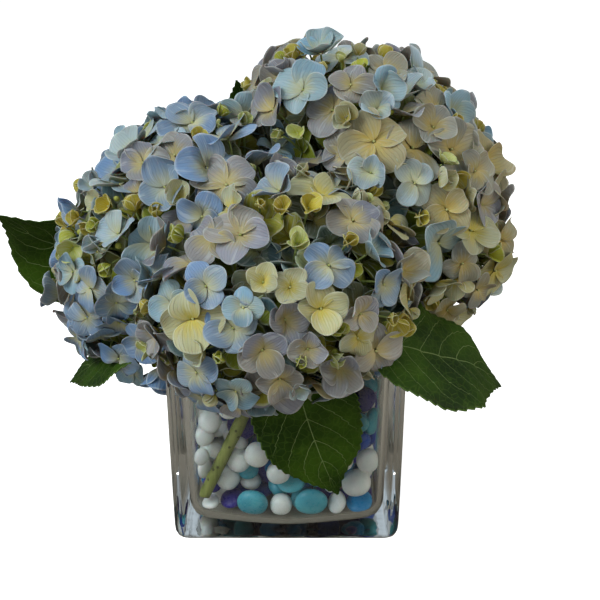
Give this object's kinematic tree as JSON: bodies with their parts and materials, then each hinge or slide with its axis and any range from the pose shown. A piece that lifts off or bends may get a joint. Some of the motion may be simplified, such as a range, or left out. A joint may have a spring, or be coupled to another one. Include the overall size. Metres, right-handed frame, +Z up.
{
  "type": "hydrangeas in a vase",
  "caption": "Rounded hydrangea heads with leaves and cut stems, standing in a clear square glass vase filled with flattened glass gems.",
  "frame": {"origin": "centre of the vase's flat underside, on the surface it stands on", "axes": "+Z up along the vase's centre line; -Y out of the vase's front wall, towards the viewer; +X to the viewer's right"},
  "size_m": [0.3042, 0.2397, 0.2657],
  "materials": {
    "floret_stalk": "matte, pale green",
    "front_head_florets": "matte petals, cream and lilac",
    "gem_bed": "opaque, satin; mixed white, turquoise and blue gems",
    "gem_cobalt": "opaque, satin",
    "gem_royal_blue": "opaque, satin",
    "gem_sky_blue": "opaque, satin",
    "gem_turquoise": "opaque, satin",
    "gem_white": "opaque, satin",
    "leaf": "satin, dark green with pale veins",
    "left_head_florets": "matte petals, blue with cream centres",
    "right_head_florets": "matte petals, grey-blue and cream",
    "stem": "matte, green with darker spots",
    "vase_glass": "clear, polished, pressed"
  },
  "bodies": {
    "root": {"front_head_branches": "floret_stalk", "front_head_florets": "front_head_florets", "gem_bed": "gem_bed", "gem_cobalt_1": "gem_cobalt", "gem_cobalt_2": "gem_cobalt", "gem_cobalt_3": "gem_cobalt", "gem_cobalt_4": "gem_cobalt", "gem_cobalt_5": "gem_cobalt", "gem_royal_blue_1": "gem_royal_blue", "gem_royal_blue_2": "gem_royal_blue", "gem_royal_blue_3": "gem_royal_blue", "gem_sky_blue_1": "gem_sky_blue", "gem_sky_blue_2": "gem_sky_blue", "gem_sky_blue_3": "gem_sky_blue", "gem_sky_blue_4": "gem_sky_blue", "gem_turquoise_1": "gem_turquoise", "gem_turquoise_2": "gem_turquoise", "gem_turquoise_3": "gem_turquoise", "gem_turquoise_4": "gem_turquoise", "gem_turquoise_5": "gem_turquoise", "gem_turquoise_6": "gem_turquoise", "gem_turquoise_7": "gem_turquoise", "gem_white_1": "gem_white", "gem_white_10": "gem_white", "gem_white_11": "gem_white", "gem_white_12": "gem_white", "gem_white_13": "gem_white", "gem_white_14": "gem_white", "gem_white_15": "gem_white", "gem_white_16": "gem_white", "gem_white_17": "gem_white", "gem_white_18": "gem_white", "gem_white_19": "gem_white", "gem_white_2": "gem_white", "gem_white_20": "gem_white", "gem_white_3": "gem_white", "gem_white_4": "gem_white", "gem_white_5": "gem_white", "gem_white_6": "gem_white", "gem_white_7": "gem_white", "gem_white_8": "gem_white", "gem_white_9": "gem_white", "leaf_back": "leaf", "leaf_between": "leaf", "leaf_front": "leaf", "leaf_left": "leaf", "leaf_lower_left": "leaf", "leaf_right": "leaf", "leaf_right_back": "leaf", "leaf_right_side": "leaf", "left_head_branches": "floret_stalk", "left_head_florets": "left_head_florets", "right_head_branches": "floret_stalk", "right_head_florets": "right_head_florets", "stem_front": "stem", "stem_left": "stem", "stem_right": "stem", "vase": "vase_glass"}
  },
  "joints": []
}
